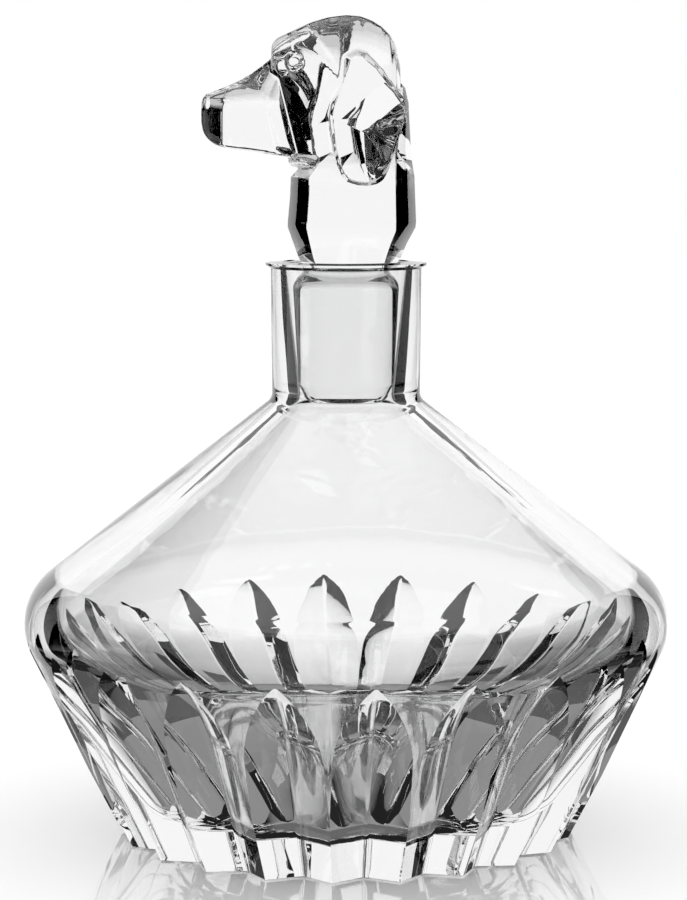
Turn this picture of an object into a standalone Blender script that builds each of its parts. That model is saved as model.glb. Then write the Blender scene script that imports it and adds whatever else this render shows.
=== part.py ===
"""Cut glass ship's decanter with a hound's head stopper, in metres, +Z up.

The origin is the centre of the underside, on the table, and the hound looks along -X.
The object is two pieces of glass: the body, blown and then cut with a ring of
V flutes, and the solid stopper, whose tapered plug is ground to fit the neck.
"""

import math

import bmesh
import bpy
from mathutils import Matrix, Vector

for old in list(bpy.data.objects):
    bpy.data.objects.remove(old, do_unlink=True)

# Driving dimensions: body, outside
BASE_RADIUS = 0.0676
BELLY_RADIUS = 0.0950
BELLY_HEIGHT = 0.0627
BELLY_ROUND = 0.0178
NECK_WALL = 0.0053
NECK_FLARE = 0.0004
NECK_FILLET = 0.0037
NECK_FOOT_HEIGHT = 0.1304
NECK_LENGTH = 0.0384
FOOT_CHAMFER = 0.0005

# Driving dimensions: mouth
LIP_OVERHANG = 0.0017
LIP_DROP = 0.0019
LIP_EDGE = 0.0005
LIP_UNDERCUT = 0.0025
FUNNEL_DEPTH = 0.0072
FUNNEL_SPREAD = 0.0029

# Driving dimensions: hollow
FLOOR_THICKNESS = 0.0122
FLOOR_FILLET = 0.0140
BELLY_WALL = 0.0087
SHOULDER_WALL = 0.0070
HOLLOW_ROUND = 0.0075
HOLLOW_LEAN = math.radians(36.0)
BORE_FILLET = 0.0047

# Driving dimensions: flutes, cut by a wheel with a V rim
FLUTE_COUNT = 22
FLUTE_DEPTH = 0.0078
FLUTE_TIP_WIDTH = 0.0019
FLUTE_HALF_ANGLE = math.radians(51.0)
FLUTE_TOP_DROP = 0.0034
FLUTE_FROM_FRONT = math.radians(4.8)
WHEEL_RADIUS = 0.0560
WHEEL_REACH = 0.0140

# Driving dimensions: stopper plug and waist, heights from the mouth
PLUG_TOP_RADIUS = 0.0162
PLUG_FOOT_RADIUS = 0.0141
PLUG_END_RADIUS = 0.0108
PLUG_TOP_DROP = 0.0065
PLUG_LENGTH = 0.0294
PLUG_CHAMFER = 0.0072
WAIST_RADIUS = 0.0135
WAIST_DROP = 0.0014
WAIST_CHAMFER = 0.0045
SEAT_CLEARANCE = 0.0003

# Driving dimensions: the hound's neck, eight flats around, heights above the mouth
THROAT_SIDES = 8
THROAT_OFFSET = 0.0015
THROAT_HALF_LENGTH = 0.0187
THROAT_HALF_WIDTH = 0.0168
THROAT_CORNER = 0.0093
THROAT_TOP = 0.0392

# Driving dimensions: skull
SKULL_HALF_LENGTH = 0.0187
SKULL_HALF_WIDTH = 0.0166
SKULL_HALF_HEIGHT = 0.0210
SKULL_SETBACK = 0.0009
SKULL_TOP = 0.0726

# Driving dimensions: muzzle
MUZZLE_REACH = 0.0411
MUZZLE_END_TOP = 0.0472
MUZZLE_END_BOTTOM = 0.0336
MUZZLE_END_HALF_WIDTH = 0.0077
MUZZLE_ROOT_X = -0.0037
MUZZLE_ROOT_TOP = 0.0692
MUZZLE_ROOT_BOTTOM = 0.0271
MUZZLE_ROOT_HALF_WIDTH = 0.0123
MUZZLE_EDGE = 0.0028

# Driving dimensions: nose, brows and eyes
NOSE_HALF_LENGTH = 0.0033
NOSE_HALF_WIDTH = 0.0051
NOSE_HALF_HEIGHT = 0.0035
BROW_HALF_LENGTH = 0.0070
BROW_HALF_WIDTH = 0.0046
BROW_HALF_HEIGHT = 0.0044
BROW_X = -0.0143
BROW_HEIGHT = 0.0598
BROW_SPACING = 0.0136
EYE_RADIUS = 0.0022
EYE_X = -0.0148
EYE_HEIGHT = 0.0556
EYE_SPACING = 0.0234

# Driving dimensions: ears
EAR_HALF_LENGTH = 0.0196
EAR_HALF_WIDTH = 0.0108
EAR_HALF_THICKNESS = 0.0037
EAR_X = 0.0061
EAR_HEIGHT = 0.0427
EAR_SPACING = 0.0334

# Smoothness and working allowances
TURNED_STEPS = 66
ARC_STEPS = 6
WHEEL_STEPS = 8
HEAD_SEGMENTS = 24
EAR_SEGMENTS = 16
EYE_SEGMENTS = 10
WELD_DISTANCE = 0.00001
CUT_OVERRUN = 0.0050

GLASS_COLOUR = (0.95, 0.96, 0.96, 1.0)
GLASS_ROUGHNESS = 0.02
GLASS_IOR = 1.54


def new_collection(name):
    """Make a collection under the scene's own."""
    collection = bpy.data.collections.new(name)
    bpy.context.scene.collection.children.link(collection)
    return collection


parts = new_collection("decanter")
cutters = new_collection("cutters")


def glass_material(name):
    """Clear lead crystal."""
    material = bpy.data.materials.new(name)
    material.use_nodes = True
    shader = material.node_tree.nodes["Principled BSDF"]
    shader.inputs["Base Color"].default_value = GLASS_COLOUR
    shader.inputs["Metallic"].default_value = 0.0
    shader.inputs["Roughness"].default_value = GLASS_ROUGHNESS
    shader.inputs["IOR"].default_value = GLASS_IOR
    shader.inputs["Transmission Weight"].default_value = 1.0
    return material


def add_object(name, mesh, collection):
    """Put a mesh in a collection, and draw it as wire if it only shapes another piece."""
    thing = bpy.data.objects.new(name, mesh)
    collection.objects.link(thing)
    if collection is cutters:
        thing.hide_render = True
        thing.display_type = "WIRE"
    return thing


def mesh_from(bm, name):
    """Turn a bmesh into a mesh with its faces pointing out."""
    bmesh.ops.recalc_face_normals(bm, faces=bm.faces)
    mesh = bpy.data.meshes.new(name)
    bm.to_mesh(mesh)
    bm.free()
    return mesh


def arc(centre, radius, start, end):
    """Points on an arc in the profile plane, angles in degrees from +radius towards +Z."""
    points = []
    for step in range(ARC_STEPS + 1):
        angle = math.radians(start + (end - start) * step / ARC_STEPS)
        points.append((centre[0] + radius * math.cos(angle), centre[1] + radius * math.sin(angle)))
    return points


def turned(name, profile, collection):
    """Spin a profile about Z. The profile runs up the inside and down the outside."""
    mesh = bpy.data.meshes.new(name)
    vertices = [(radius, 0.0, height) for radius, height in profile]
    edges = [(index, index + 1) for index in range(len(profile) - 1)]
    mesh.from_pydata(vertices, edges, [])
    thing = add_object(name, mesh, collection)
    screw = thing.modifiers.new("turn", "SCREW")
    screw.axis = "Z"
    screw.steps = TURNED_STEPS
    screw.render_steps = TURNED_STEPS
    screw.use_merge_vertices = True
    screw.merge_threshold = WELD_DISTANCE
    screw.use_smooth_shade = True
    return thing


def ellipsoid(name, centre, half_sizes, segments):
    """A ball scaled to three half sizes, used to build up the head."""
    bm = bmesh.new()
    bmesh.ops.create_uvsphere(bm, u_segments=segments, v_segments=segments // 2, radius=1.0)
    placed = Matrix.Translation(centre) @ Matrix.Diagonal((*half_sizes, 1.0))
    bmesh.ops.transform(bm, matrix=placed, verts=bm.verts)
    return add_object(name, mesh_from(bm, name), cutters)


def boolean(thing, tool, operation):
    """Cut a piece with a tool, or join the tool to it."""
    modifier = thing.modifiers.new(tool.name, "BOOLEAN")
    modifier.operation = operation
    modifier.solver = "EXACT"
    modifier.object = tool


def plug_radius(drop):
    """Radius of the ground taper of the plug at a depth under the mouth."""
    share = (drop - PLUG_TOP_DROP) / PLUG_LENGTH
    return PLUG_TOP_RADIUS + (PLUG_FOOT_RADIUS - PLUG_TOP_RADIUS) * share


# Neck and mouth, around the plug
mouth_height = NECK_FOOT_HEIGHT + NECK_LENGTH
bore_top_radius = plug_radius(FUNNEL_DEPTH) + SEAT_CLEARANCE
mouth_radius = bore_top_radius + FUNNEL_SPREAD
neck_radius = bore_top_radius + NECK_WALL
neck_top_radius = neck_radius + NECK_FLARE

# Belly, wall and shoulder: the wall runs from the foot to the belly's round, and the
# shoulder from there to the fillet of the neck, and each is tangent to what it meets
belly_centre = Vector((BELLY_RADIUS - BELLY_ROUND, BELLY_HEIGHT))
neck_fillet_centre = Vector((neck_radius + NECK_FILLET, NECK_FOOT_HEIGHT))
to_belly = belly_centre - Vector((BASE_RADIUS, 0.0))
to_neck = neck_fillet_centre - belly_centre
wall_lean = math.atan2(to_belly.x, to_belly.y) + math.asin(BELLY_ROUND / to_belly.length)
shoulder_rise = math.atan2(to_neck.y, -to_neck.x) - math.asin((BELLY_ROUND + NECK_FILLET) / to_neck.length)
shoulder_normal_angle = 90.0 - math.degrees(shoulder_rise)
shoulder_normal = Vector((math.sin(shoulder_rise), math.cos(shoulder_rise)))
shoulder_foot = belly_centre + BELLY_ROUND * shoulder_normal


def height_beside_shoulder(radius, distance):
    """Height of the point at this radius that lies a distance outside the shoulder cone."""
    run = (radius - shoulder_foot.x) * shoulder_normal.x
    return shoulder_foot.y + (distance - run) / shoulder_normal.y


def body_profile():
    """Half section of the body, from the hollow's floor over the lip to the underside."""
    hollow_radius = BELLY_RADIUS - BELLY_WALL - HOLLOW_ROUND
    hollow_height = height_beside_shoulder(hollow_radius, -(SHOULDER_WALL + HOLLOW_ROUND))
    hollow_lean = math.degrees(HOLLOW_LEAN)
    wall_normal = Vector((math.cos(HOLLOW_LEAN), -math.sin(HOLLOW_LEAN)))
    wall_top = Vector((hollow_radius, hollow_height)) + HOLLOW_ROUND * wall_normal
    fillet_height = FLOOR_THICKNESS + FLOOR_FILLET
    fillet_run = FLOOR_FILLET - (fillet_height - wall_top.y) * math.sin(HOLLOW_LEAN)
    fillet_radius = wall_top.x - fillet_run / math.cos(HOLLOW_LEAN)

    bore_foot_radius = plug_radius(PLUG_TOP_DROP + PLUG_LENGTH) + SEAT_CLEARANCE + BORE_FILLET
    bore_foot_height = height_beside_shoulder(bore_foot_radius, BORE_FILLET - SHOULDER_WALL)
    bore_foot_radius = plug_radius(mouth_height - bore_foot_height) + SEAT_CLEARANCE + BORE_FILLET

    lip_height = mouth_height - LIP_DROP
    lip_radius = neck_top_radius + LIP_OVERHANG
    foot_edge = BASE_RADIUS + FOOT_CHAMFER * math.tan(wall_lean)

    profile = [(0.0, FLOOR_THICKNESS)]
    profile += arc((fillet_radius, fillet_height), FLOOR_FILLET, -90.0, -hollow_lean)
    profile += arc((hollow_radius, hollow_height), HOLLOW_ROUND, -hollow_lean, shoulder_normal_angle)
    profile += arc((bore_foot_radius, bore_foot_height), BORE_FILLET, 180.0 + shoulder_normal_angle, 180.0)
    profile += [(bore_top_radius, mouth_height - FUNNEL_DEPTH), (mouth_radius, mouth_height)]
    profile += [(lip_radius, lip_height), (lip_radius, lip_height - LIP_EDGE)]
    profile += [(neck_top_radius, lip_height - LIP_UNDERCUT)]
    profile += arc(neck_fillet_centre, NECK_FILLET, 180.0, 180.0 + shoulder_normal_angle)
    profile += arc(belly_centre, BELLY_ROUND, shoulder_normal_angle, -math.degrees(wall_lean))
    profile += [(foot_edge, FOOT_CHAMFER), (BASE_RADIUS - FOOT_CHAMFER, 0.0), (0.0, 0.0)]
    return profile


def flute_cutter(name):
    """One flute: a V bar along the wall, which the round of the wheel lifts out at the top.

    It is built in the plane Y = 0 at +X, and u runs up the wall from its foot.
    """
    up_wall = Vector((math.sin(wall_lean), 0.0, math.cos(wall_lean)))
    out_of_wall = Vector((math.cos(wall_lean), 0.0, -math.sin(wall_lean)))
    foot = Vector((BASE_RADIUS, 0.0, 0.0))

    top_radius = belly_centre.x + math.sqrt(BELLY_ROUND ** 2 - FLUTE_TOP_DROP ** 2)
    top = Vector((top_radius, 0.0, BELLY_HEIGHT - FLUTE_TOP_DROP)) - foot
    top_depth = FLUTE_DEPTH + top.dot(out_of_wall)
    run_out = math.sqrt(2.0 * WHEEL_RADIUS * top_depth - top_depth ** 2)
    straight_end = top.dot(up_wall) - run_out
    wheel_centre = foot + up_wall * straight_end + out_of_wall * (WHEEL_RADIUS - FLUTE_DEPTH)
    sweep = math.acos(1.0 - (top_depth + WHEEL_REACH) / WHEEL_RADIUS)

    half_tip = FLUTE_TIP_WIDTH / 2.0
    half_mouth = half_tip + (FLUTE_DEPTH + CUT_OVERRUN) * math.tan(FLUTE_HALF_ANGLE)
    section = [(-half_tip, -FLUTE_DEPTH), (half_tip, -FLUTE_DEPTH)]
    section += [(half_mouth, CUT_OVERRUN), (-half_mouth, CUT_OVERRUN)]

    bm = bmesh.new()
    start = foot - up_wall * CUT_OVERRUN * 2.0
    corners = []
    for side, out in section:
        corners.append(bm.verts.new(start + out_of_wall * out + Vector((0.0, side, 0.0))))
    end_face = bm.faces.new(corners)
    raised = bmesh.ops.extrude_face_region(bm, geom=[end_face], use_keep_orig=True)
    moved = [item for item in raised["geom"] if isinstance(item, bmesh.types.BMVert)]
    bmesh.ops.translate(bm, verts=moved, vec=up_wall * (straight_end + CUT_OVERRUN * 2.0))
    lifted = [item for item in raised["geom"] if isinstance(item, bmesh.types.BMFace)]
    bmesh.ops.spin(
        bm, geom=lifted, cent=wheel_centre, axis=Vector((0.0, 1.0, 0.0)),
        angle=sweep, steps=WHEEL_STEPS, use_merge=False,
    )
    bmesh.ops.delete(bm, geom=lifted, context="FACES_ONLY")
    return mesh_from(bm, name)


def build_body():
    """The body: turned inside and out, then fluted."""
    body = turned("decanter_body", body_profile(), parts)
    flute_mesh = flute_cutter("flute")
    for index in range(FLUTE_COUNT):
        angle = 2.0 * math.pi * index / FLUTE_COUNT + FLUTE_FROM_FRONT - math.pi / 2.0
        cutter = add_object("flute_%02d" % index, flute_mesh, cutters)
        cutter.rotation_euler.z = angle
        boolean(body, cutter, "DIFFERENCE")
    body.data.materials.append(glass_material("body_glass"))
    return body


def plug_profile():
    """Half section of the plug and waist, closed inside the hound's neck."""
    neck_inside = mouth_height + THROAT_CORNER
    plug_top = mouth_height - PLUG_TOP_DROP
    plug_foot = plug_top - PLUG_LENGTH
    plug_end = plug_foot - PLUG_CHAMFER
    profile = [(0.0, neck_inside), (WAIST_RADIUS, neck_inside)]
    profile += [(WAIST_RADIUS, plug_top + WAIST_CHAMFER), (PLUG_TOP_RADIUS, plug_top)]
    profile += [(PLUG_FOOT_RADIUS, plug_foot), (PLUG_END_RADIUS, plug_end), (0.0, plug_end)]
    return profile


def throat_mesh(name):
    """The hound's neck: eight flats that widen from the waist, then rise."""
    flat_reach = 1.0 / math.cos(math.pi / THROAT_SIDES)
    waist_share = WAIST_RADIUS / THROAT_HALF_LENGTH
    bm = bmesh.new()
    bmesh.ops.create_cone(
        bm, cap_ends=True, segments=THROAT_SIDES, depth=1.0,
        radius1=flat_reach * waist_share, radius2=flat_reach,
    )
    turn = Matrix.Rotation(math.pi / THROAT_SIDES, 4, "Z")
    size = Matrix.Diagonal((THROAT_HALF_LENGTH, THROAT_HALF_WIDTH, THROAT_CORNER + WAIST_DROP, 1.0))
    middle = mouth_height + (THROAT_CORNER - WAIST_DROP) / 2.0
    place = Matrix.Translation((THROAT_OFFSET, 0.0, middle))
    bmesh.ops.transform(bm, matrix=place @ size @ turn, verts=bm.verts)
    top = max(bm.faces, key=lambda face: face.calc_center_median().z)
    raised = bmesh.ops.extrude_face_region(bm, geom=[top])
    moved = [item for item in raised["geom"] if isinstance(item, bmesh.types.BMVert)]
    bmesh.ops.translate(bm, verts=moved, vec=(0.0, 0.0, THROAT_TOP - THROAT_CORNER))
    bmesh.ops.delete(bm, geom=[top], context="FACES_ONLY")
    return mesh_from(bm, name)


def muzzle():
    """The muzzle: a box that narrows from the skull to the nose, with its edges rounded."""
    bm = bmesh.new()
    bmesh.ops.create_cube(bm, size=1.0)
    for vertex in bm.verts:
        at_nose = vertex.co.x < 0.0
        upper = vertex.co.z > 0.0
        side = math.copysign(1.0, vertex.co.y)
        if at_nose:
            height = MUZZLE_END_TOP if upper else MUZZLE_END_BOTTOM
            vertex.co = Vector((-MUZZLE_REACH, side * MUZZLE_END_HALF_WIDTH, mouth_height + height))
        else:
            height = MUZZLE_ROOT_TOP if upper else MUZZLE_ROOT_BOTTOM
            vertex.co = Vector((MUZZLE_ROOT_X, side * MUZZLE_ROOT_HALF_WIDTH, mouth_height + height))
    thing = add_object("muzzle", mesh_from(bm, "muzzle"), cutters)
    rounded = thing.modifiers.new("edges", "BEVEL")
    rounded.width = MUZZLE_EDGE
    rounded.segments = 3
    return thing


def head_pieces():
    """The shapes that make up the head, each joined to the stopper."""
    skull_centre = (-SKULL_SETBACK, 0.0, mouth_height + SKULL_TOP - SKULL_HALF_HEIGHT)
    skull_sizes = (SKULL_HALF_LENGTH, SKULL_HALF_WIDTH, SKULL_HALF_HEIGHT)
    nose_height = mouth_height + MUZZLE_END_TOP - NOSE_HALF_HEIGHT
    nose_sizes = (NOSE_HALF_LENGTH, NOSE_HALF_WIDTH, NOSE_HALF_HEIGHT)
    pieces = [
        add_object("throat", throat_mesh("throat"), cutters),
        ellipsoid("skull", skull_centre, skull_sizes, HEAD_SEGMENTS),
        muzzle(),
        ellipsoid("nose", (-MUZZLE_REACH, 0.0, nose_height), nose_sizes, EYE_SEGMENTS),
    ]
    for side, label in ((1.0, "far"), (-1.0, "near")):
        brow_place = (BROW_X, side * BROW_SPACING / 2.0, mouth_height + BROW_HEIGHT)
        brow_sizes = (BROW_HALF_LENGTH, BROW_HALF_WIDTH, BROW_HALF_HEIGHT)
        eye_place = (EYE_X, side * EYE_SPACING / 2.0, mouth_height + EYE_HEIGHT)
        ear_place = (EAR_X, side * EAR_SPACING / 2.0, mouth_height + EAR_HEIGHT)
        ear_sizes = (EAR_HALF_WIDTH, EAR_HALF_THICKNESS, EAR_HALF_LENGTH)
        pieces.append(ellipsoid("brow_" + label, brow_place, brow_sizes, EAR_SEGMENTS))
        pieces.append(ellipsoid("eye_" + label, eye_place, (EYE_RADIUS,) * 3, EYE_SEGMENTS))
        pieces.append(ellipsoid("ear_" + label, ear_place, ear_sizes, EAR_SEGMENTS))
    return pieces


def build_stopper():
    """The stopper: one solid piece that lifts straight out of the neck, along Z."""
    stopper = turned("stopper", plug_profile(), parts)
    for piece in head_pieces():
        boolean(stopper, piece, "UNION")
    stopper.data.materials.append(glass_material("stopper_glass"))
    return stopper


build_body()
build_stopper()
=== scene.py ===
import math

import bmesh
import bpy
from mathutils import Matrix, Vector


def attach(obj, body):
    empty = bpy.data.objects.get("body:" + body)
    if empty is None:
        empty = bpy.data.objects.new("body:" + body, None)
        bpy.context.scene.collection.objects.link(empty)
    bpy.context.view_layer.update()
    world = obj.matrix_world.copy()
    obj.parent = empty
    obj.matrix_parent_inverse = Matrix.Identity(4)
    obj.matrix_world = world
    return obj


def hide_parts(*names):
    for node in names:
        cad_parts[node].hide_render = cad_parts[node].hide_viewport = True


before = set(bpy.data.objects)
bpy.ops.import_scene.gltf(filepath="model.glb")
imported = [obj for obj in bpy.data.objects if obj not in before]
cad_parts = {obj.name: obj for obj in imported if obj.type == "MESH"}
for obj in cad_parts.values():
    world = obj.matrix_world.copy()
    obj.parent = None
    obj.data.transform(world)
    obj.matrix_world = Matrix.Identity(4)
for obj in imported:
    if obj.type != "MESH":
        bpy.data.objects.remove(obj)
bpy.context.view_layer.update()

# Camera
# The picture is taken from a little above the belly, level enough that the lip is a thin
# ellipse, with a long lens that keeps the sides of the neck upright.
PICTURE_WIDTH = 687
PICTURE_HEIGHT = 900
LENS_IN_PIXELS = 2957.0
CAMERA_BACK = 0.8684
CAMERA_HEIGHT = 0.2068
CAMERA_SIDE = -0.00076
CAMERA_PITCH = math.radians(4.423)
CAMERA_SHIFT = -0.10

camera = bpy.data.objects.new("camera", bpy.data.cameras.new("camera"))
bpy.context.scene.collection.objects.link(camera)
camera.location = (CAMERA_SIDE, -CAMERA_BACK, CAMERA_HEIGHT)
camera.rotation_euler = (math.pi / 2.0 - CAMERA_PITCH, 0.0, 0.0)
camera.data.sensor_width = 36.0
camera.data.lens = 36.0 * LENS_IN_PIXELS / max(PICTURE_WIDTH, PICTURE_HEIGHT)
camera.data.shift_y = CAMERA_SHIFT
camera.data.dof.use_dof = False
bpy.context.scene.camera = camera
bpy.context.scene.view_settings.view_transform = "Standard"

# Table
# A sheet of white acrylic, polished enough to hold a faint reflection of the foot. Seen through
# the glass it is a mirror at a low slant. From above it shows painted shade: greys that glow in
# steps by distance from the foot, dark grey under and round it and lighter again far out.
TABLE_SIZE = 8.0
TABLE_HEIGHT = -0.0004
TABLE_WHITE = (0.93, 0.93, 0.93, 1.0)
TABLE_GLOW = 0.13
TABLE_IOR = 2.6
# Painted shade: distance from the foot's middle in metres, and the grey the table glows with from there on, seen only
# through the glass.
PAINTED_FOOT_SHADE = (
    (0.0, 0.10), (0.020, 0.20), (0.040, 0.13), (0.055, 0.28), (0.090, 0.10), (0.140, 0.02), (0.220, 0.60))
MIRROR_FROM = 0.45
MIRROR_FULL = 0.72

bpy.ops.object.select_all(action="DESELECT")
bpy.ops.mesh.primitive_plane_add(size=TABLE_SIZE, location=(0.0, 0.0, TABLE_HEIGHT))
table = bpy.context.active_object
table.name = "table"
table_finish = bpy.data.materials.new("white_acrylic")
table_finish.use_nodes = True
nodes = table_finish.node_tree.nodes
links = table_finish.node_tree.links
shader = nodes["Principled BSDF"]
shader.inputs["Base Color"].default_value = TABLE_WHITE
shader.inputs["Roughness"].default_value = 0.04
shader.inputs["IOR"].default_value = TABLE_IOR
shader.inputs["Emission Color"].default_value = (1.0, 1.0, 1.0, 1.0)
shader.inputs["Emission Strength"].default_value = TABLE_GLOW


def steps_ramp(nodes, steps, span):
    """A colour ramp that holds each grey from its place to the next, places over the span."""
    ramp = nodes.new("ShaderNodeValToRGB")
    ramp.color_ramp.interpolation = "CONSTANT"
    for _ in steps[2:]:
        ramp.color_ramp.elements.new(1.0)
    for element, (place, grey) in zip(ramp.color_ramp.elements, steps):
        element.position = place / span
        element.color = (grey, grey, grey, 1.0)
    return ramp


def math_node(nodes, links, operation, *values):
    """A math node with each value a number or an output."""
    node = nodes.new("ShaderNodeMath")
    node.operation = operation
    for socket, value in zip(node.inputs, values):
        if isinstance(value, (int, float)):
            socket.default_value = value
        else:
            links.new(value, socket)
    return node.outputs["Value"]


place = nodes.new("ShaderNodeTexCoord")
split = nodes.new("ShaderNodeSeparateXYZ")
links.new(place.outputs["Object"], split.inputs["Vector"])
across, back = split.outputs["X"], split.outputs["Y"]
reach = math_node(nodes, links, "SQRT", math_node(
    nodes, links, "ADD", math_node(nodes, links, "MULTIPLY", across, across),
    math_node(nodes, links, "MULTIPLY", back, back)))
# Painted shade: through the glass the table glows with these greys by distance from the foot, mixed with a mirror by
# slant.
painted_foot_shade = steps_ramp(nodes, PAINTED_FOOT_SHADE, 1.0)
links.new(reach, painted_foot_shade.inputs["Fac"])
painted_shade = nodes.new("ShaderNodeEmission")
links.new(painted_foot_shade.outputs["Color"], painted_shade.inputs["Color"])
mirror = nodes.new("ShaderNodeBsdfGlossy")
mirror.inputs["Color"].default_value = (1.0, 1.0, 1.0, 1.0)
mirror.inputs["Roughness"].default_value = 0.03
slant = nodes.new("ShaderNodeLayerWeight")
share = nodes.new("ShaderNodeMapRange")
share.inputs["From Min"].default_value = MIRROR_FROM
share.inputs["From Max"].default_value = MIRROR_FULL
links.new(slant.outputs["Facing"], share.inputs["Value"])
painted_shade_or_mirror = nodes.new("ShaderNodeMixShader")
links.new(share.outputs["Result"], painted_shade_or_mirror.inputs["Fac"])
links.new(painted_shade.outputs["Emission"], painted_shade_or_mirror.inputs[1])
links.new(mirror.outputs["BSDF"], painted_shade_or_mirror.inputs[2])
light_path = nodes.new("ShaderNodeLightPath")
through_glass = nodes.new("ShaderNodeMixShader")
links.new(light_path.outputs["Is Camera Ray"], through_glass.inputs["Fac"])
links.new(painted_shade_or_mirror.outputs["Shader"], through_glass.inputs[1])
links.new(shader.outputs["BSDF"], through_glass.inputs[2])
links.new(through_glass.outputs["Shader"], nodes["Material Output"].inputs["Surface"])
table.data.materials.append(table_finish)

bpy.ops.object.select_all(action="DESELECT")
bpy.ops.mesh.primitive_plane_add(size=TABLE_SIZE, location=(0.0, 0.0, TABLE_HEIGHT / 2.0))
table_film = bpy.context.active_object
table_film.name = "table_film"
film_finish = bpy.data.materials.new("clear_film")
film_finish.use_nodes = True
nodes = film_finish.node_tree.nodes
links = film_finish.node_tree.links
links.new(nodes.new("ShaderNodeBsdfTransparent").outputs["BSDF"], nodes["Material Output"].inputs["Surface"])
table_film.data.materials.append(film_finish)

# Light
# A white room all around, at the level where white is white. Black cards outside the
# picture give clear glass its dark edges, and only the glass and the table's gloss see them.
WHITE = (1.0, 1.0, 1.0, 1.0)
CARD_BLACK = (0.0, 0.0, 0.0, 1.0)
CARD_DISTANCE = 1.6

world = bpy.data.worlds.new("studio")
bpy.context.scene.world = world
world.use_nodes = True
world.node_tree.nodes["Background"].inputs["Color"].default_value = WHITE
world.node_tree.nodes["Background"].inputs["Strength"].default_value = 1.0

card_finish = bpy.data.materials.new("black_card")
card_finish.use_nodes = True
nodes = card_finish.node_tree.nodes
links = card_finish.node_tree.links
shader = nodes["Principled BSDF"]
shader.inputs["Base Color"].default_value = CARD_BLACK
shader.inputs["Specular IOR Level"].default_value = 0.0
shader.inputs["Roughness"].default_value = 1.0
light_path = nodes.new("ShaderNodeLightPath")
first_gloss = math_node(nodes, links, "MULTIPLY", light_path.outputs["Is Glossy Ray"], math_node(
    nodes, links, "LESS_THAN", light_path.outputs["Ray Depth"], 1.5))
first_gloss = math_node(nodes, links, "MULTIPLY", first_gloss, math_node(
    nodes, links, "GREATER_THAN", light_path.outputs["Transparent Depth"], 0.5))
clear = nodes.new("ShaderNodeBsdfTransparent")
unseen = nodes.new("ShaderNodeMixShader")
links.new(first_gloss, unseen.inputs["Fac"])
links.new(shader.outputs["BSDF"], unseen.inputs[1])
links.new(clear.outputs["BSDF"], unseen.inputs[2])
links.new(unseen.outputs["Shader"], nodes["Material Output"].inputs["Surface"])


def stand_card(name, first_bearing, last_bearing, bottom, top):
    """Bend a black card round the table, bearings in degrees from straight behind, right positive."""
    steps = max(2, round(abs(last_bearing - first_bearing) / 4.0))
    corners = []
    for step in range(steps + 1):
        bearing = math.radians(first_bearing + (last_bearing - first_bearing) * step / steps)
        place = Vector((math.sin(bearing), math.cos(bearing), 0.0)) * CARD_DISTANCE
        corners.append(place + Vector((0.0, 0.0, bottom)))
    bpy.ops.object.select_all(action="DESELECT")
    bpy.ops.mesh.primitive_plane_add(size=0.001)
    bpy.ops.object.mode_set(mode="EDIT")
    bpy.ops.mesh.merge(type="CENTER")
    bpy.ops.transform.translate(value=corners[0])
    for before, after in zip(corners, corners[1:]):
        bpy.ops.mesh.extrude_region_move(TRANSFORM_OT_translate={"value": after - before})
    bpy.ops.mesh.select_all(action="SELECT")
    bpy.ops.mesh.extrude_region_move(TRANSFORM_OT_translate={"value": (0.0, 0.0, top - bottom)})
    bpy.ops.object.mode_set(mode="OBJECT")
    card = bpy.context.active_object
    card.name = name
    card.data.materials.append(card_finish)
    card.visible_camera = False
    card.visible_diffuse = False
    card.visible_shadow = False
    return card


stand_card("card_right", 37.0, 122.0, -0.3, 1.12)
stand_card("card_right_low", 122.5, 147.5, -0.3, 0.30)
stand_card("card_right_high", 122.5, 147.5, 0.70, 2.2)
stand_card("card_front", 148.0, 257.0, -0.3, 2.2)
stand_card("card_left", -77.0, -38.0, -0.3, 2.3)
stand_card("card_left_high", -102.5, -77.5, 0.30, 2.2)
stand_card("card_back", -30.0, 30.0, 0.75, 1.25)

# Body
# Blown lead crystal, thick in the base, with a hollow that follows the outside. The wheel
# then cuts a ring of V flutes up the leaning wall, and each is polished clear again.
TURNS = 264
BASE_RADIUS = 0.0676
BELLY_RADIUS = 0.09488
BELLY_HEIGHT = 0.0627
BELLY_ROUND = 0.0178
NECK_RADIUS = 0.0218
NECK_TOP_RADIUS = 0.0222
NECK_FILLET = 0.0037
NECK_FOOT = 0.1304
MOUTH_HEIGHT = 0.1688
FOOT_CHAMFER = 0.0004
LIP_RADIUS = 0.0237
LIP_DROP = 0.0004
LIP_EDGE = 0.0007
LIP_UNDERCUT = 0.0016
MOUTH_RADIUS = 0.0186
MOUTH_ROUND = 0.0004
BORE_TOP = 0.0182
BORE_FOOT = 0.0143
BORE_FOOT_FILLET = 0.0100
FLOOR_THICKNESS = 0.0122
FLOOR_FILLET = 0.0140
HOLLOW_RADIUS = 0.0862
HOLLOW_ROUND = 0.0120
HOLLOW_LEAN = math.radians(36.0)
SHOULDER_WALL = 0.0070
FLUTES = 22
FLUTE_DEPTH = 0.0070
FLUTE_TIP_ROUND = 0.0015
FLUTE_HALF_ANGLE = math.radians(59.0)
FLUTE_TOP_DROP = 0.0034
FLUTE_FROM_FRONT = math.radians(4.8)
WHEEL_RADIUS = 0.0560
WHEEL_REACH = 0.0140
CUT_OVERRUN = 0.0050

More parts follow.
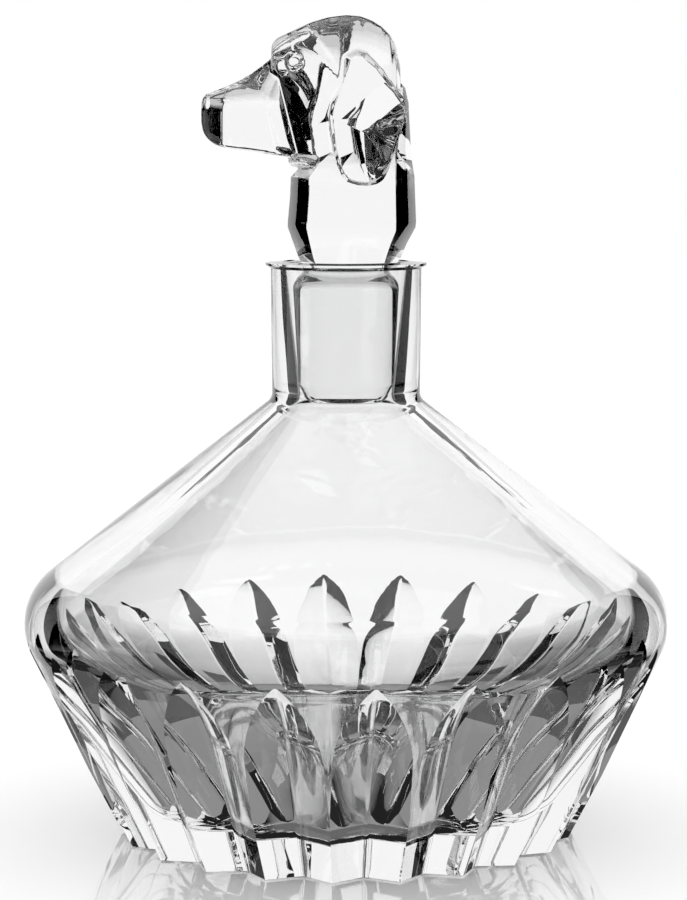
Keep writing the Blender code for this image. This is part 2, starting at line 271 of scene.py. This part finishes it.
belly = Vector((BELLY_RADIUS - BELLY_ROUND, BELLY_HEIGHT))
fillet = Vector((NECK_RADIUS + NECK_FILLET, NECK_FOOT))
to_belly = belly - Vector((BASE_RADIUS, 0.0))
to_neck = fillet - belly
wall_lean = math.atan2(to_belly.x, to_belly.y) + math.asin(BELLY_ROUND / to_belly.length)
shoulder_rise = math.atan2(to_neck.y, -to_neck.x) - math.asin((BELLY_ROUND + NECK_FILLET) / to_neck.length)
shoulder_facing = Vector((math.sin(shoulder_rise), math.cos(shoulder_rise)))
shoulder_foot = belly + BELLY_ROUND * shoulder_facing


def beside_shoulder(radius, distance):
    """Height of the point at this radius a distance outside the shoulder's straight side."""
    run = (radius - shoulder_foot.x) * shoulder_facing.x
    return shoulder_foot.y + (distance - run) / shoulder_facing.y


def bend(centre, radius, start, end, step=3.0):
    """Points round part of a circle in the section, angles in degrees from outwards to up."""
    count = max(2, round(abs(end - start) / step))
    points = []
    for index in range(count + 1):
        angle = math.radians(start + (end - start) * index / count)
        points.append((centre[0] + radius * math.cos(angle), centre[1] + radius * math.sin(angle)))
    return points


def draw_line(points):
    """Start one vertex in edit mode, and draw it out from point to point."""
    bpy.ops.object.select_all(action="DESELECT")
    bpy.ops.mesh.primitive_plane_add(size=0.001)
    bpy.ops.object.mode_set(mode="EDIT")
    bpy.ops.mesh.merge(type="CENTER")
    bpy.ops.transform.translate(value=points[0])
    for before, after in zip(points, points[1:]):
        bpy.ops.mesh.extrude_region_move(TRANSFORM_OT_translate={"value": after - before})


def spin_section(name, section):
    """Draw a half section, given as radius and height, and spin it into a closed piece."""
    draw_line([Vector((radius, 0.0, height)) for radius, height in section])
    bpy.ops.mesh.select_all(action="SELECT")
    bpy.ops.mesh.spin(steps=TURNS, angle=2.0 * math.pi, center=(0.0, 0.0, 0.0), axis=(0.0, 0.0, 1.0))
    bpy.ops.mesh.select_all(action="SELECT")
    bpy.ops.mesh.remove_doubles(threshold=0.000002)
    bpy.ops.mesh.normals_make_consistent(inside=False)
    bpy.ops.object.mode_set(mode="OBJECT")
    piece = bpy.context.active_object
    piece.name = name
    return piece


rise = 90.0 - math.degrees(shoulder_rise)
lean = math.degrees(wall_lean)
hollow_x = HOLLOW_RADIUS - HOLLOW_ROUND
hollow_z = beside_shoulder(hollow_x, -(SHOULDER_WALL + HOLLOW_ROUND))
hollow_lean = math.degrees(HOLLOW_LEAN)
wall_top = Vector((hollow_x + HOLLOW_ROUND * math.cos(HOLLOW_LEAN), hollow_z - HOLLOW_ROUND * math.sin(HOLLOW_LEAN)))
floor_z = FLOOR_THICKNESS + FLOOR_FILLET
floor_x = wall_top.x - (FLOOR_FILLET - (floor_z - wall_top.y) * math.sin(HOLLOW_LEAN)) / math.cos(HOLLOW_LEAN)
bore_x = BORE_FOOT + BORE_FOOT_FILLET
bore_z = beside_shoulder(bore_x, BORE_FOOT_FILLET - SHOULDER_WALL)
lip_z = MOUTH_HEIGHT - LIP_DROP

section = [(0.0, FLOOR_THICKNESS)]
section += bend((floor_x, floor_z), FLOOR_FILLET, -90.0, -hollow_lean)
section += bend((hollow_x, hollow_z), HOLLOW_ROUND, -hollow_lean, rise)
section += bend((bore_x, bore_z), BORE_FOOT_FILLET, 180.0 + rise, 180.0)
section += [(BORE_TOP, MOUTH_HEIGHT - MOUTH_ROUND), (MOUTH_RADIUS, MOUTH_HEIGHT)]
section += [(LIP_RADIUS, lip_z), (LIP_RADIUS, lip_z - LIP_EDGE), (NECK_TOP_RADIUS, lip_z - LIP_UNDERCUT)]
section += bend(fillet, NECK_FILLET, 180.0, 180.0 + rise)
section += bend(belly, BELLY_ROUND, rise, -lean)
section += [(BASE_RADIUS + FOOT_CHAMFER * math.tan(wall_lean), FOOT_CHAMFER)]
section += [(BASE_RADIUS - FOOT_CHAMFER, 0.0), (0.0, 0.0)]
body = spin_section("decanter_glass", section)

up_wall = Vector((math.sin(wall_lean), 0.0, math.cos(wall_lean)))
out_of_wall = Vector((math.cos(wall_lean), 0.0, -math.sin(wall_lean)))
foot = Vector((BASE_RADIUS, 0.0, 0.0))
arch_x = belly.x + math.sqrt(BELLY_ROUND ** 2 - FLUTE_TOP_DROP ** 2)
arch = Vector((arch_x, 0.0, BELLY_HEIGHT - FLUTE_TOP_DROP)) - foot
arch_depth = FLUTE_DEPTH + arch.dot(out_of_wall)
straight = arch.dot(up_wall) - math.sqrt(2.0 * WHEEL_RADIUS * arch_depth - arch_depth ** 2)
wheel_centre = foot + up_wall * straight + out_of_wall * (WHEEL_RADIUS - FLUTE_DEPTH)
wheel_sweep = math.acos(1.0 - (arch_depth + WHEEL_REACH) / WHEEL_RADIUS)


def flute_cutter(bearing):
    """The V rim of the wheel, drawn along the wall and lifted out on the round of the wheel."""
    flank = math.pi / 2.0 - FLUTE_HALF_ANGLE
    tip = bend((0.0, FLUTE_TIP_ROUND - FLUTE_DEPTH), FLUTE_TIP_ROUND, -90.0 - math.degrees(flank), -90.0 + math.degrees(flank), 8.0)
    rise_to_mouth = CUT_OVERRUN - tip[-1][1]
    half_mouth = tip[-1][0] + rise_to_mouth * math.tan(FLUTE_HALF_ANGLE)
    outline = [(-half_mouth, CUT_OVERRUN)] + tip + [(half_mouth, CUT_OVERRUN)]
    start = foot - up_wall * CUT_OVERRUN * 2.0
    draw_line([start + out_of_wall * out + Vector((0.0, side, 0.0)) for side, out in outline])
    bpy.ops.mesh.select_all(action="SELECT")
    bpy.ops.mesh.edge_face_add()
    bpy.ops.mesh.extrude_region_move(TRANSFORM_OT_translate={"value": up_wall * (straight + CUT_OVERRUN * 2.0)})
    bpy.ops.mesh.spin(steps=18, angle=wheel_sweep, center=wheel_centre, axis=(0.0, -1.0, 0.0))
    bpy.ops.mesh.select_all(action="SELECT")
    bpy.ops.mesh.remove_doubles(threshold=0.000002)
    bpy.ops.mesh.select_all(action="DESELECT")
    bpy.ops.mesh.select_interior_faces()
    bpy.ops.mesh.delete(type="FACE")
    bpy.ops.mesh.select_all(action="SELECT")
    bpy.ops.mesh.normals_make_consistent(inside=False)
    bpy.ops.object.mode_set(mode="OBJECT")
    cutter = bpy.context.active_object
    cutter.data.transform(Matrix.Rotation(bearing, 4, "Z"))
    return cutter


def apply_modifier(piece, kind, **settings):
    """Give the piece one modifier with these settings and apply it at once."""
    bpy.ops.object.select_all(action="DESELECT")
    piece.select_set(True)
    bpy.context.view_layer.objects.active = piece
    modifier = piece.modifiers.new("step", kind)
    for name, value in settings.items():
        setattr(modifier, name, value)
    bpy.ops.object.modifier_apply(modifier=modifier.name)


def join_pieces(pieces):
    """Join the pieces into the first of them."""
    bpy.ops.object.select_all(action="DESELECT")
    for piece in pieces:
        piece.select_set(True)
    bpy.context.view_layer.objects.active = pieces[0]
    bpy.ops.object.join()
    return bpy.context.active_object


def cut_away(piece, cutters):
    """Join the cutters, take them out of the piece and throw them away."""
    tool = join_pieces(cutters)
    apply_modifier(piece, "BOOLEAN", operation="DIFFERENCE", solver="EXACT", object=tool)
    bpy.data.objects.remove(tool)


bearings = [2.0 * math.pi * index / FLUTES + FLUTE_FROM_FRONT - math.pi / 2.0 for index in range(FLUTES)]
cut_away(body, [flute_cutter(bearing) for bearing in bearings[0::2]])
cut_away(body, [flute_cutter(bearing) for bearing in bearings[1::2]])
bpy.ops.object.shade_smooth_by_angle(angle=math.radians(20.0))

finish = bpy.data.node_groups.new("crystal_finish", "ShaderNodeTree")
finish.interface.new_socket("Point", in_out="INPUT", socket_type="NodeSocketVector")
finish.interface.new_socket("Tint", in_out="OUTPUT", socket_type="NodeSocketColor")
finish.interface.new_socket("Haze", in_out="OUTPUT", socket_type="NodeSocketFloat")
finish.interface.new_socket("Height", in_out="OUTPUT", socket_type="NodeSocketFloat")
inlet = finish.nodes.new("NodeGroupInput")
outlet = finish.nodes.new("NodeGroupOutput")
waves = finish.nodes.new("ShaderNodeTexNoise")
waves.inputs["Scale"].default_value = 60.0
waves.inputs["Detail"].default_value = 1.0
wiping = finish.nodes.new("ShaderNodeTexNoise")
wiping.inputs["Scale"].default_value = 340.0
wiping.inputs["Detail"].default_value = 3.0
haze = finish.nodes.new("ShaderNodeMapRange")
haze.inputs["From Min"].default_value = 0.45
haze.inputs["From Max"].default_value = 0.80
haze.inputs["To Max"].default_value = 0.012
tint = finish.nodes.new("ShaderNodeMix")
tint.data_type = "RGBA"
tint.inputs["A"].default_value = (1.0, 1.0, 1.0, 1.0)
tint.inputs["B"].default_value = (0.994, 0.997, 0.996, 1.0)
for source in (waves, wiping):
    finish.links.new(inlet.outputs["Point"], source.inputs["Vector"])
finish.links.new(wiping.outputs["Fac"], haze.inputs["Value"])
finish.links.new(waves.outputs["Fac"], tint.inputs["Factor"])
finish.links.new(tint.outputs["Result"], outlet.inputs["Tint"])
finish.links.new(haze.outputs["Result"], outlet.inputs["Haze"])
finish.links.new(waves.outputs["Fac"], outlet.inputs["Height"])


def crystal_glass(name, wave_height):
    """Clear lead crystal with a faint tint, wiping haze and waves of this height in metres."""
    crystal = bpy.data.materials.new(name)
    crystal.use_nodes = True
    nodes, links = crystal.node_tree.nodes, crystal.node_tree.links
    shader = nodes["Principled BSDF"]
    shader.inputs["IOR"].default_value = 1.54
    shader.inputs["Transmission Weight"].default_value = 1.0
    shader.inputs["Metallic"].default_value = 0.0
    place = nodes.new("ShaderNodeTexCoord")
    look = nodes.new("ShaderNodeGroup")
    look.node_tree = finish
    swell = nodes.new("ShaderNodeBump")
    swell.inputs["Distance"].default_value = wave_height
    links.new(place.outputs["Object"], look.inputs["Point"])
    links.new(look.outputs["Tint"], shader.inputs["Base Color"])
    links.new(look.outputs["Haze"], shader.inputs["Roughness"])
    links.new(look.outputs["Height"], swell.inputs["Height"])
    links.new(swell.outputs["Normal"], shader.inputs["Normal"])
    return crystal


body.data.materials.clear()
body.data.materials.append(crystal_glass("body_crystal", 0.00008))
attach(body, "body")
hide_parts("decanter_body")

# Stopper
# A pressed crystal hound's head, solid from the crown to the plug, cut to eight sides at the
# throat. The plug below it is ground and polished round, and stands in the neck by its taper.
MM = 0.001
RING_POINTS = 48
HEAD_VOXEL = 0.00045
HEAD_SOFTNESS = 3
# along the head: place, top, underside and half width in millimetres
JAW = (
    (-42.4, 213.6, 209.4, 1.4), (-42.0, 214.8, 207.2, 2.0), (-41.4, 215.6, 205.8, 2.6), (-40.4, 216.0, 204.5, 3.4),
    (-39.2, 216.3, 203.5, 4.3), (-38.0, 216.4, 202.8, 5.2), (-36.4, 216.4, 202.2, 6.4), (-34.6, 216.4, 201.8, 7.6),
    (-33.0, 216.4, 201.5, 8.6), (-31.6, 216.4, 201.3, 9.1), (-28.0, 216.4, 200.9, 9.4), (-23.0, 216.4, 200.2, 9.7),
    (-18.0, 216.4, 199.5, 10.2), (-12.0, 216.4, 199.2, 10.6))
BRIDGE = (
    (-40.8, 217.4, 215.6, 1.0), (-40.2, 218.0, 214.4, 2.4), (-39.0, 218.5, 213.9, 4.0), (-37.0, 219.2, 213.4, 5.5),
    (-34.0, 220.4, 212.4, 7.4), (-31.0, 221.8, 210.0, 8.4), (-28.0, 223.5, 206.5, 8.9), (-24.8, 225.9, 202.3, 9.3),
    (-22.0, 228.2, 200.8, 9.5), (-18.0, 230.2, 200.6, 9.8), (-12.0, 231.0, 200.6, 10.4))
SKULL = (
    (-21.8, 231.8, 224.0, 4.6), (-21.2, 233.0, 220.0, 6.6), (-20.2, 234.0, 212.0, 9.4), (-18.6, 234.8, 206.0, 12.4),
    (-16.4, 235.8, 201.6, 15.6), (-14.0, 236.9, 199.0, 17.0), (-11.6, 238.0, 197.4, 17.4), (-9.6, 238.8, 196.6, 17.6),
    (-5.0, 240.1, 196.4, 17.6), (0.0, 240.7, 196.6, 17.6), (4.0, 240.4, 197.0, 17.5), (7.4, 239.2, 197.6, 17.0),
    (10.4, 237.4, 199.0, 16.0), (12.8, 235.0, 201.0, 14.2), (14.6, 231.6, 204.0, 11.8), (15.8, 226.0, 208.0, 8.6))
# up the throat: height, middle, half length and half width in millimetres
THROAT = (
    (166.4, 1.0, 13.2, 13.2), (167.4, 1.1, 13.7, 13.4), (170.4, 1.0, 15.0, 14.4), (174.4, 1.2, 16.6, 15.6),
    (178.9, 1.6, 18.6, 16.8), (180.4, 1.7, 18.7, 16.9), (188.0, 1.9, 18.2, 16.8), (193.5, 1.9, 18.0, 16.5),
    (197.5, 3.4, 15.9, 14.6), (201.0, 5.4, 13.5, 12.4), (205.0, 7.2, 11.5, 10.6), (209.0, 8.4, 10.1, 9.4),
    (215.0, 9.3, 8.9, 8.6), (219.5, 9.6, 7.6, 8.0), (221.0, 9.6, 6.2, 7.0))
# the ear from the side, in millimetres along and up
EAR = (
    (0.0, 228.2), (-1.2, 223.5), (-2.4, 219.0), (-4.1, 214.9), (-5.0, 211.0), (-4.4, 206.6), (-3.9, 202.2), (-2.8, 197.2),
    (-1.5, 194.1), (0.2, 192.1), (3.0, 191.2), (5.8, 190.9), (8.8, 191.4), (10.8, 192.7), (12.2, 195.6), (13.3, 199.2),
    (15.4, 205.4), (17.2, 211.3), (16.6, 217.0), (15.3, 217.9), (11.9, 222.0), (9.8, 225.0), (5.6, 229.1), (3.0, 229.7))
EAR_FACE = 19.65
# the crease between muzzle and cheek: a point on it, its way across and how steeply both walls rise from it
CREASE = (-20.4, 5.5, 224.7)
CREASE_ACROSS = (0.97, 0.244)
WALL_RISE = 0.72
# the two polished facets behind each ear: a point on the edge of each and the way it falls, and their outline
FACET_EDGES = (((1.1, 212.5), (0.66, -0.75)), ((-2.0, 209.8), (1.0, 0.0)))
FACET_FALL = 0.66
FACET = (
    (-2.6, 210.0), (12.4, 223.2), (16.0, 218.4), (17.0, 217.2), (17.4, 211.3), (14.6, 205.5), (12.5, 199.6), (11.2, 196.2),
    (10.0, 194.0), (8.4, 192.8), (5.8, 192.4), (3.0, 192.7), (0.6, 193.6), (-1.0, 196.0), (-2.6, 200.0))


def even_ring(upper, lower):
    """A closed ring one by one in half size, squarer where its upper or lower power is larger."""
    ring = []
    for index in range(RING_POINTS):
        angle = 2.0 * math.pi * (index + 0.5) / RING_POINTS
        across, up = math.cos(angle), math.sin(angle)
        power = 2.0 / (upper if up > 0.0 else lower)
        ring.append((math.copysign(abs(across) ** power, across), math.copysign(abs(up) ** power, up)))
    return ring


def loft(name, ring, stations, place, size):
    """Fill the ring at the first station, then extrude and scale it from station to station."""
    first = place(stations[0])
    scale = size(stations[0])
    points = [first + Vector([a * b for a, b in zip(scale, corner)]) for corner in ring]
    draw_line(points)
    bpy.ops.mesh.select_all(action="SELECT")
    bpy.ops.mesh.edge_face_add()
    for before, after in zip(stations, stations[1:]):
        step = place(after) - place(before)
        ratio = [b / a for a, b in zip(size(before), size(after))]
        bpy.ops.mesh.extrude_region_move(TRANSFORM_OT_translate={"value": step})
        bpy.ops.transform.resize(value=ratio, center_override=place(after))
    bpy.ops.mesh.select_all(action="SELECT")
    bpy.ops.mesh.normals_make_consistent(inside=False)
    bpy.ops.object.mode_set(mode="OBJECT")
    piece = bpy.context.active_object
    piece.name = name
    return piece


def along_head(station):
    return Vector((station[0], 0.0, (station[1] + station[2]) / 2.0)) * MM


def head_size(station):
    return (1.0, station[3] * MM, (station[1] - station[2]) / 2.0 * MM)


def up_throat(station):
    return Vector((station[1], 0.0, station[0])) * MM


def throat_size(station):
    return (station[2] * MM, station[3] * MM, 1.0)


def ball(name, middle, half, turn=0.0):
    """An ellipsoid by its middle and half sizes in millimetres, nosed up by a turn in degrees."""
    bpy.ops.object.select_all(action="DESELECT")
    bpy.ops.mesh.primitive_uv_sphere_add(segments=40, ring_count=24, radius=1.0)
    piece = bpy.context.active_object
    piece.name = name
    piece.data.transform(Matrix.Diagonal((half[0] * MM, half[1] * MM, half[2] * MM, 1.0)))
    piece.data.transform(Matrix.Rotation(math.radians(turn), 4, "Y"))
    piece.data.transform(Matrix.Translation(Vector(middle) * MM))
    return piece


def slice_off(piece, point, way):
    """Saw the piece through at a point in millimetres, lose what lies on the way's side, close it."""
    bpy.ops.object.select_all(action="DESELECT")
    piece.select_set(True)
    bpy.context.view_layer.objects.active = piece
    bpy.ops.object.mode_set(mode="EDIT")
    bpy.ops.mesh.select_all(action="SELECT")
    bpy.ops.mesh.bisect(plane_co=Vector(point) * MM, plane_no=way, use_fill=True, clear_outer=True)
    bpy.ops.object.mode_set(mode="OBJECT")
    return piece


def side_prism(outline, start, depth):
    """A prism over an outline given along and up, from one distance across to another."""
    draw_line([Vector((x, start, z)) * MM for x, z in outline])
    bpy.ops.mesh.select_all(action="SELECT")
    bpy.ops.mesh.edge_face_add()
    bpy.ops.mesh.extrude_region_move(TRANSFORM_OT_translate={"value": (0.0, depth * MM, 0.0)})


def close_prism():
    bpy.ops.mesh.select_all(action="SELECT")
    bpy.ops.mesh.normals_make_consistent(inside=False)
    bpy.ops.object.mode_set(mode="OBJECT")
    return bpy.context.active_object


jaw_ring = [(0.0, across, up) for across, up in even_ring(5.0, 8.0)]
bridge_ring = [(0.0, across, up) for across, up in even_ring(1.18, 3.0)]
skull_ring = [(0.0, across, up) for across, up in even_ring(1.8, 3.4)]
eight = ((-0.70, -1.0), (0.70, -1.0), (1.0, -0.36), (1.0, 0.36), (0.70, 1.0), (-0.70, 1.0), (-1.0, 0.36), (-1.0, -0.36))
throat_ring = [(across, along, 0.0) for across, along in eight]
jaw = loft("jaw", jaw_ring, JAW, along_head, head_size)
bridge = loft("bridge", bridge_ring, BRIDGE, along_head, head_size)
skull = loft("skull", skull_ring, SKULL, along_head, head_size)
for side in (-1.0, 1.0):
    crease = (CREASE[0], CREASE[1] * side, CREASE[2])
    for piece, lean in ((jaw, 1.0), (bridge, 1.0), (skull, -1.0)):
        slice_off(piece, crease, Vector((lean * WALL_RISE * CREASE_ACROSS[0], side, lean * WALL_RISE * CREASE_ACROSS[1])))
head_parts = [
    jaw, bridge, skull,
    ball("nose", (-39.9, 0.0, 214.4), (2.5, 4.0, 3.6)),
    ball("fold", (-11.2, 0.0, 197.2), (6.0, 15.5, 2.1), 10.0),
]
for side in (-1.0, 1.0):
    head_parts.append(ball("brow", (-15.6, 7.4 * side, 232.0), (6.6, 3.0, 2.2), -26.0))
    side_prism(EAR, 9.0 * side, 7.2 * side)
    bpy.ops.mesh.inset(thickness=1.3 * MM)
    bpy.ops.transform.translate(value=(0.0, 3.25 * side * MM, 0.0))
    bpy.ops.mesh.inset(thickness=2.5 * MM)
    bpy.ops.transform.translate(value=(0.0, 0.2 * side * MM, 0.0))
    head_parts.append(close_prism())
head = join_pieces(head_parts)
apply_modifier(head, "REMESH", mode="VOXEL", voxel_size=HEAD_VOXEL)
cut_away(head, [ball("socket", (-15.4, 10.6 * side, 226.8), (3.6, 3.0, 3.2)) for side in (-1.0, 1.0)])
eyes = [ball("eye", (-15.0, 8.9 * side, 226.8), (2.7, 2.3, 2.5)) for side in (-1.0, 1.0)]
head = join_pieces([head] + eyes)
apply_modifier(head, "REMESH", mode="VOXEL", voxel_size=HEAD_VOXEL)
apply_modifier(head, "SMOOTH", factor=0.5, iterations=HEAD_SOFTNESS)

PLUG = (
    (0.0, 125.7), (9.6, 125.7), (10.3, 126.0), (10.8, 126.6), (13.8, 132.4), (14.0, 133.2), (15.7, 160.4),
    (15.6, 161.4), (15.2, 162.4), (14.4, 163.4), (13.4, 164.2), (12.8, 165.2), (12.6, 166.4), (12.6, 172.0), (0.0, 172.0))
plug = spin_section("plug", [(radius * MM, height * MM) for radius, height in PLUG])
throat = loft("throat", throat_ring, THROAT, up_throat, throat_size)
for below in (throat, plug):
    apply_modifier(head, "BOOLEAN", operation="UNION", solver="EXACT", object=below)
    bpy.data.objects.remove(below)
facets = []
for side in (-1.0, 1.0):
    side_prism(FACET, 0.0, 24.0 * side)
    facet = close_prism()
    for (along, up), (fall_along, fall_up) in FACET_EDGES:
        slice_off(facet, (along, EAR_FACE * side, up), -Vector((FACET_FALL * fall_along, side, FACET_FALL * fall_up)))
    facets.append(facet)
cut_away(head, facets)
stopper = head
stopper.name = "stopper_glass"
bpy.ops.object.shade_smooth_by_angle(angle=math.radians(30.0))
stopper.data.materials.clear()
stopper.data.materials.append(crystal_glass("stopper_crystal", 0.00012))
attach(stopper, "stopper")
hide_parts("stopper")
